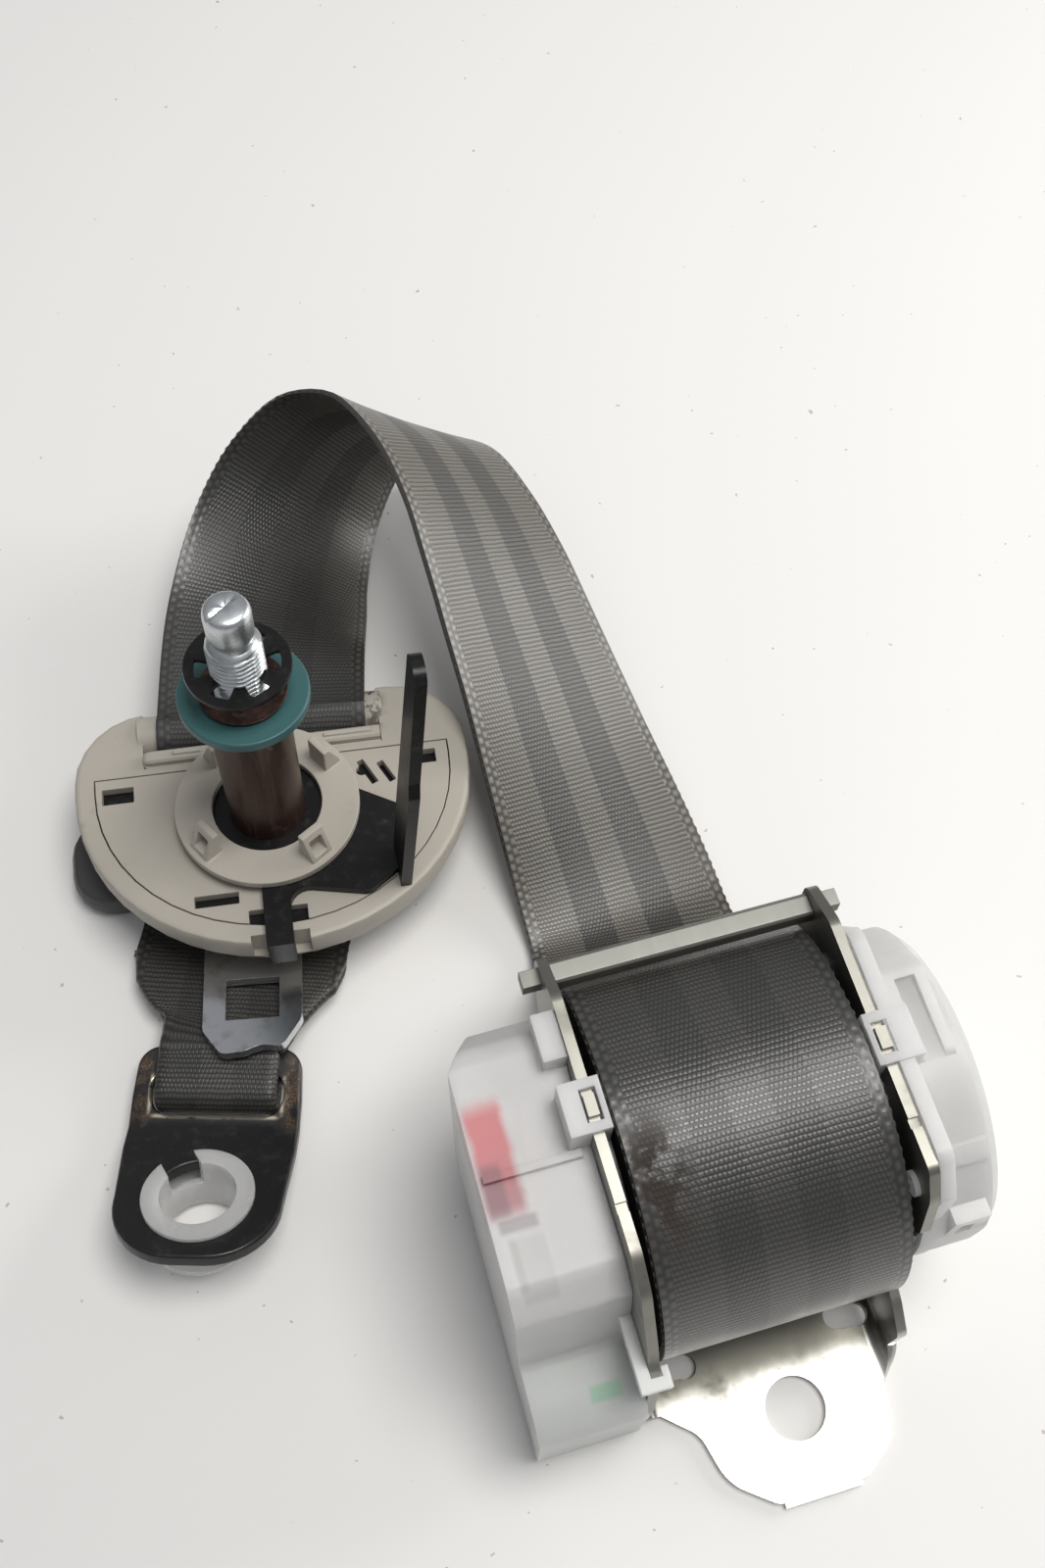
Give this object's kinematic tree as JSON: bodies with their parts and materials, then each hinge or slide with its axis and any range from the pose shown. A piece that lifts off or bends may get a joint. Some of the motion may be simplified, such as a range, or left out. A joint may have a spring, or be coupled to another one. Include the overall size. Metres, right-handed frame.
{
  "type": "seat belt retractor",
  "caption": "Seat belt retractor in a bent steel frame, its webbing running through a pillar guide with a bolt and a sliding tongue to a bent lower anchor plate.",
  "frame": {"origin": "centre of the bolt hole on the underside of the frame's tab", "axes": "+X along the spool from the sensor side to the spring side, +Y from the bolt tab to the tie bar, +Z out of the back plate along the bolt hole"},
  "size_m": [0.1626, 0.2616, 0.0971],
  "materials": {
    "zinc": "bright zinc plating",
    "steel": "oiled steel",
    "spool_metal": "die cast",
    "chrome": "polished plating",
    "black_paint": "satin black paint",
    "brown_phosphate": "oiled brown phosphate",
    "milky_plastic": "milky translucent moulding",
    "grey_plastic": "fine grained moulding",
    "dark_plastic": "fine grained moulding",
    "teal_plastic": "smooth moulding",
    "red_plastic": "smooth moulding",
    "green_plastic": "smooth moulding",
    "webbing": "woven polyester, herringbone"
  },
  "bodies": {
    "retractor": {"frame": "zinc", "tie_bar": "zinc", "bush_left": "milky_plastic", "bush_right": "milky_plastic", "pawl_pin": "zinc", "sensor_cup": "green_plastic", "sensor_cover": "milky_plastic", "power_spring": "steel", "spring_cover": "milky_plastic", "webbing": "webbing"},
    "spool_set": {"spool": "spool_metal", "torsion_bar": "steel", "webbing_roll": "webbing", "ratchet_wheel": "steel", "spring_arbor": "milky_plastic"},
    "lock_disc_body": {"lock_disc": "red_plastic"},
    "pawl": {"lock_pawl": "steel"},
    "ball": {"sensor_ball": "steel"},
    "lever": {"sensor_lever": "green_plastic"},
    "guide": {"guide_shell": "grey_plastic", "guide_back": "grey_plastic", "guide_loop": "steel"},
    "pillar_stop": {"stop_bracket": "black_paint", "spacer_sleeve": "brown_phosphate", "teal_washer": "teal_plastic"},
    "bolt": {"guide_bolt": "zinc", "push_clip": "black_paint"},
    "ring": {"trim_ring": "grey_plastic"},
    "tongue": {"tongue_plate": "chrome", "tongue_grip": "dark_plastic"},
    "anchor": {"anchor_plate": "black_paint"},
    "bush": {"anchor_bush": "milky_plastic"}
  },
  "joints": [
    {"name": "spool_turn", "type": "hinge", "parent": "retractor", "child": "spool_set", "pos_m": [-0.004, 0.0483, 0.0385], "axis": [1, 0, 0], "continuous": true, "deforming": ["webbing", "power_spring"]},
    {"name": "disc_turn", "type": "hinge", "parent": "spool_set", "child": "lock_disc_body", "pos_m": [-0.042, 0.0483, 0.0385], "axis": [1, 0, 0], "range_deg": [0, 10]},
    {"name": "pawl_swing", "type": "hinge", "parent": "retractor", "child": "pawl", "pos_m": [-0.0352, 0.024, 0.02], "axis": [-1, 0, 0], "range_deg": [0, 7.38]},
    {"name": "ball_lift", "type": "slide", "parent": "retractor", "child": "ball", "axis": [0, 0, 1], "range_m": [0, 0.0004]},
    {"name": "lever_lift", "type": "hinge", "parent": "retractor", "child": "lever", "pos_m": [-0.042, 0.0088, 0.0214], "axis": [1, 0, 0], "range_deg": [0, 3.4]},
    {"name": "guide_tilt", "type": "hinge", "parent": "retractor", "child": "guide", "pos_m": [-0.0702, 0.17344, 0.017], "axis": [-0.9922, 0.1218, 0.0262], "range_deg": [0, 15], "deforming": ["webbing"]},
    {"name": "stop_swing", "type": "hinge", "parent": "guide", "child": "pillar_stop", "pos_m": [-0.073, 0.1485, 0.027], "axis": [0.0355, 0.0747, 0.9966], "range_deg": [-5, 5]},
    {"name": "bolt_turn", "type": "hinge", "parent": "pillar_stop", "child": "bolt", "pos_m": [-0.073, 0.1485, 0.027], "axis": [0.0355, 0.0747, 0.9966], "continuous": true},
    {"name": "ring_slide", "type": "slide", "parent": "pillar_stop", "child": "ring", "axis": [0.0355, 0.0747, 0.9966], "range_m": [0, 0.03]},
    {"name": "tongue_slide", "type": "slide", "parent": "retractor", "child": "tongue", "axis": [0.1908, 0.9816, 0], "range_m": [-0.003, 0.006], "deforming": ["webbing"]},
    {"name": "anchor_tilt", "type": "hinge", "parent": "retractor", "child": "anchor", "pos_m": [-0.09613, 0.10046, 0.0054], "axis": [-0.9563, 0.2924, 0], "range_deg": [0, 20], "deforming": ["webbing"]},
    {"name": "bush_turn", "type": "hinge", "parent": "anchor", "child": "bush", "pos_m": [-0.10525, 0.07065, 0.01544], "axis": [0.1327, 0.4342, 0.891], "continuous": true}
  ],
  "couplings": [
    {"joint": "pawl_swing", "follows": "disc_turn", "ratio": 0.738},
    {"joint": "lever_lift", "follows": "ball_lift", "rad_per_m": 144.9}
  ]
}
